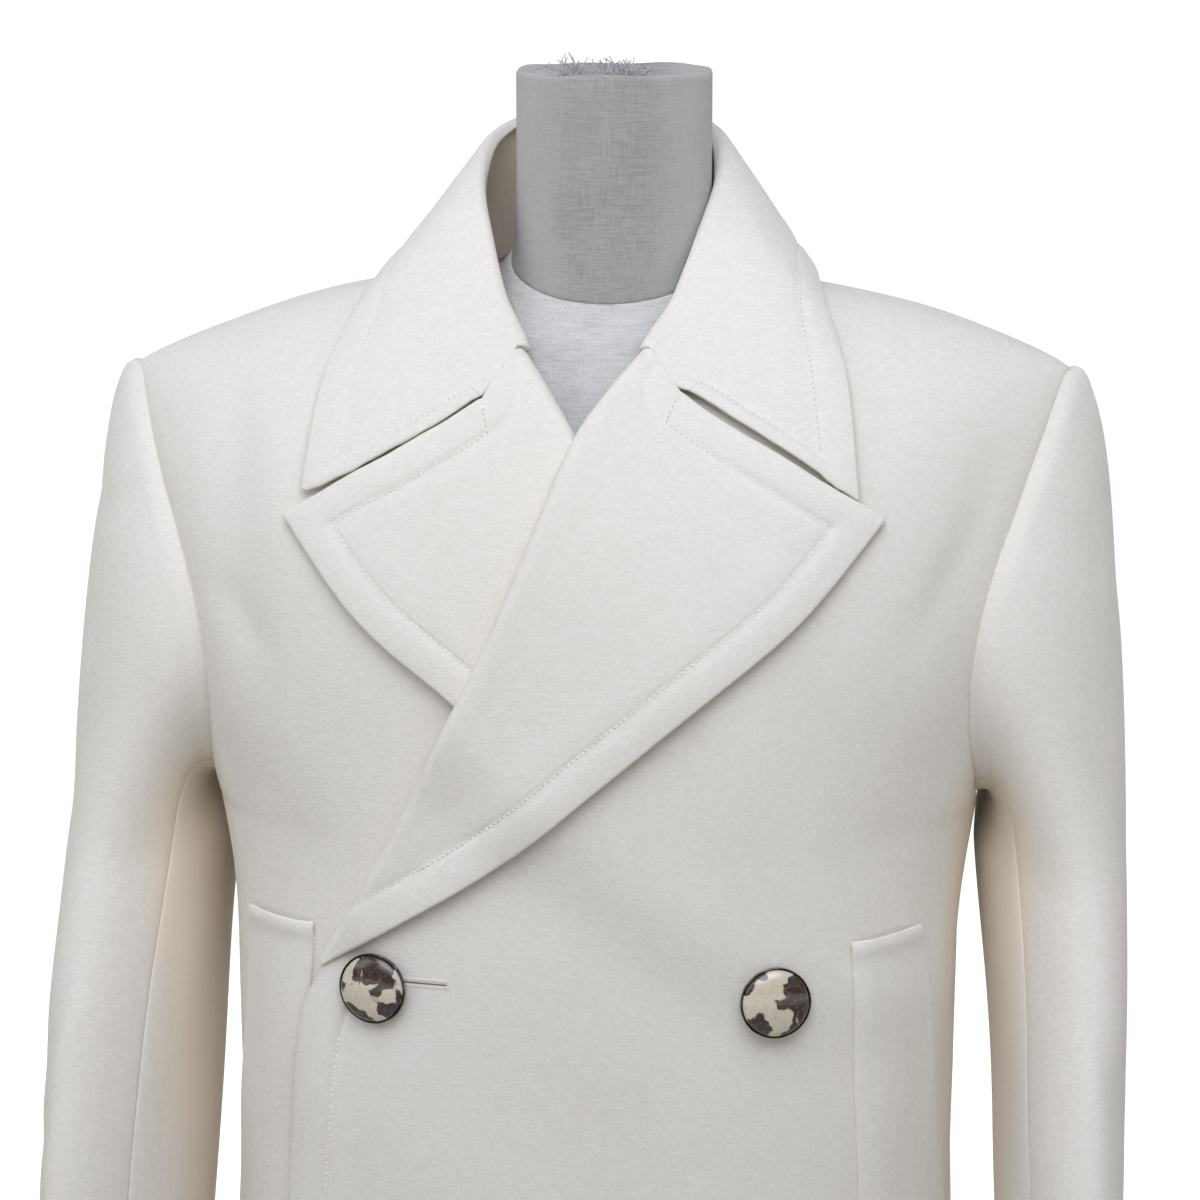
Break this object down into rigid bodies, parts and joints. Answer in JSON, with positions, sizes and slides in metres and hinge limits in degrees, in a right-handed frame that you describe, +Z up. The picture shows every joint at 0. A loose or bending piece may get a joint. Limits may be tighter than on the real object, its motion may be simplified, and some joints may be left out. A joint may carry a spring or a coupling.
{
  "type": "long wool coat on dress form",
  "caption": "Long double-breasted wool coat with a wide turned-down collar, peaked lapels and upright welt pockets, hanging on a limbless dress form with a round stand.",
  "frame": {"origin": "centre of the flat underside of the stand's base, on the floor", "axes": "+Z up, the coat's front faces -Y, the wearer's left side is +X"},
  "size_m": [0.5346, 0.346, 1.5],
  "materials": {
    "wool": "matte, napped felted wool",
    "linen": "matte, slubby plain weave",
    "button_metal": "dark gunmetal, satin",
    "button_enamel": "polished, mottled dark brown and cream",
    "steel": "satin",
    "timber": "satin"
  },
  "bodies": {
    "root": {"front_left": "wool", "front_right": "wool", "back": "wool", "lapel_left": "wool", "lapel_right": "wool", "collar_fall": "wool", "collar_stand": "wool", "sleeve_top_left": "wool", "sleeve_top_right": "wool", "sleeve_under_left": "wool", "sleeve_under_right": "wool", "pocket_welt_left": "wool", "pocket_welt_right": "wool", "button_left_1_shell": "button_metal", "button_left_1_dome": "button_enamel", "button_left_2_shell": "button_metal", "button_left_2_dome": "button_enamel", "button_right_1_shell": "button_metal", "button_right_1_dome": "button_enamel", "button_right_2_shell": "button_metal", "button_right_2_dome": "button_enamel", "form_torso": "linen", "form_neck": "linen", "form_underplate": "timber", "stand_collar": "steel", "stand_pole": "steel", "stand_base": "steel"}
  },
  "joints": []
}
